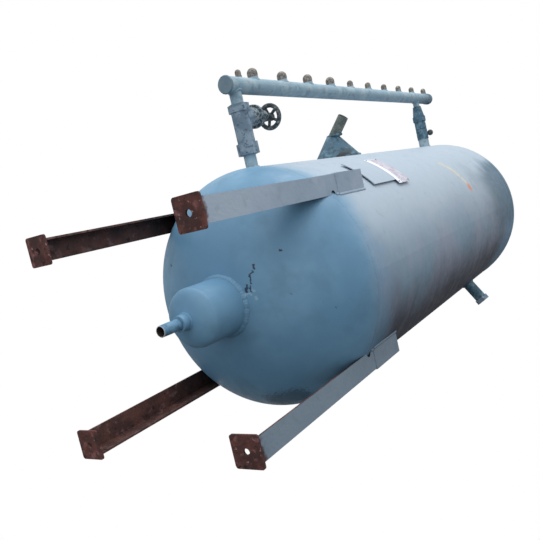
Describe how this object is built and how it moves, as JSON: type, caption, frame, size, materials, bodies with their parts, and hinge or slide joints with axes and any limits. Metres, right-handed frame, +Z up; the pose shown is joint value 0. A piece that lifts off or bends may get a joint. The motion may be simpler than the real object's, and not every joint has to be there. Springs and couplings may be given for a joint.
{
  "type": "air receiver tank",
  "caption": "Vertical air receiver on angle legs, with dished heads, a drain pot, a side outlet header with plugged ports, a gate valve and a ball valve.",
  "frame": {"origin": "on the vessel's axis, in the plane of the foot plates' soles, at the centre of the four foot holes", "axes": "+Z up the vessel's axis to the top head, -Y towards the outlet header, +X towards the name plate"},
  "size_m": [0.806, 1.2013, 2.723],
  "materials": {
    "shell_paint": "chalky pale blue-grey paint",
    "head_paint": "satin mid-blue paint",
    "weld_paint": "painted weld bead",
    "header_paint": "satin blue-grey paint",
    "teal_paint": "worn teal paint",
    "valve_paint": "overpainted casting, patchy",
    "leg_paint": "blue-grey paint outside, rust primer inside",
    "rusty_steel": "rusty plate",
    "pipe_steel": "weathered pipe",
    "galvanised": "dull galvanised",
    "brass": "dull",
    "handwheel_iron": "painted casting",
    "chrome": "polished",
    "seal": "seat rings",
    "plate_white": "white enamelled plate"
  },
  "bodies": {
    "tank": {"shell": "shell_paint", "bottom_head": "head_paint", "top_head": "head_paint", "bottom_girth_weld": "weld_paint", "top_girth_weld": "weld_paint", "drain_pot": "head_paint", "drain_pot_cap": "head_paint", "drain_coupling": "head_paint", "drain_nipple": "head_paint", "header_pipe": "header_paint", "header_end_disc": "header_paint", "header_screw_cap": "valve_paint", "large_port_sockets": "header_paint", "large_port_plugs": "galvanised", "small_port_sockets": "header_paint", "small_port_plugs": "galvanised", "gauge_port_socket": "header_paint", "gauge_port_plug": "galvanised", "lower_riser_pipe": "header_paint", "lower_riser_nipple": "header_paint", "gate_valve_body": "valve_paint", "gate_valve_seats": "brass", "valve_bonnet": "valve_paint", "packing_nut": "valve_paint", "upper_riser_nipple": "header_paint", "union_head": "teal_paint", "union_nut": "teal_paint", "union_tail": "teal_paint", "ball_valve_body": "teal_paint", "ball_seats": "seal", "upper_riser_socket": "header_paint", "inlet_neck": "teal_paint", "inlet_reducer": "teal_paint", "inlet_pipe": "pipe_steel", "side_socket": "teal_paint", "side_plug": "valve_paint", "nameplate_holder": "shell_paint", "nameplate": "plate_white", "nameplate_rivets": "galvanised", "leg_1": "leg_paint", "leg_clip_1": "leg_paint", "foot_plate_1": "rusty_steel", "leg_2": "leg_paint", "leg_clip_2": "leg_paint", "foot_plate_2": "rusty_steel", "leg_3": "leg_paint", "leg_clip_3": "leg_paint", "foot_plate_3": "rusty_steel", "leg_4": "leg_paint", "leg_clip_4": "leg_paint", "foot_plate_4": "rusty_steel"},
    "wheel": {"valve_stem": "valve_paint", "handwheel": "handwheel_iron", "handwheel_nut": "galvanised"},
    "wedge": {"gate_wedge": "brass"},
    "ball": {"valve_ball": "chrome", "ball_stem": "chrome", "ball_knob": "handwheel_iron"}
  },
  "joints": [
    {"name": "handwheel_turn", "type": "hinge", "parent": "tank", "child": "wheel", "pos_m": [0, -0.575, 0.875], "axis": [0, 0, 1], "range_deg": [0, 3240]},
    {"name": "wedge_lift", "type": "slide", "parent": "tank", "child": "wedge", "axis": [0, 0, 1], "range_m": [0, 0.036]},
    {"name": "ball_turn", "type": "hinge", "parent": "tank", "child": "ball", "pos_m": [0, -0.474, 2.436], "axis": [1, 0, 0], "range_deg": [0, 90]}
  ],
  "couplings": [
    {"joint": "wedge_lift", "follows": "handwheel_turn", "m_per_rad": 0.0006366}
  ]
}
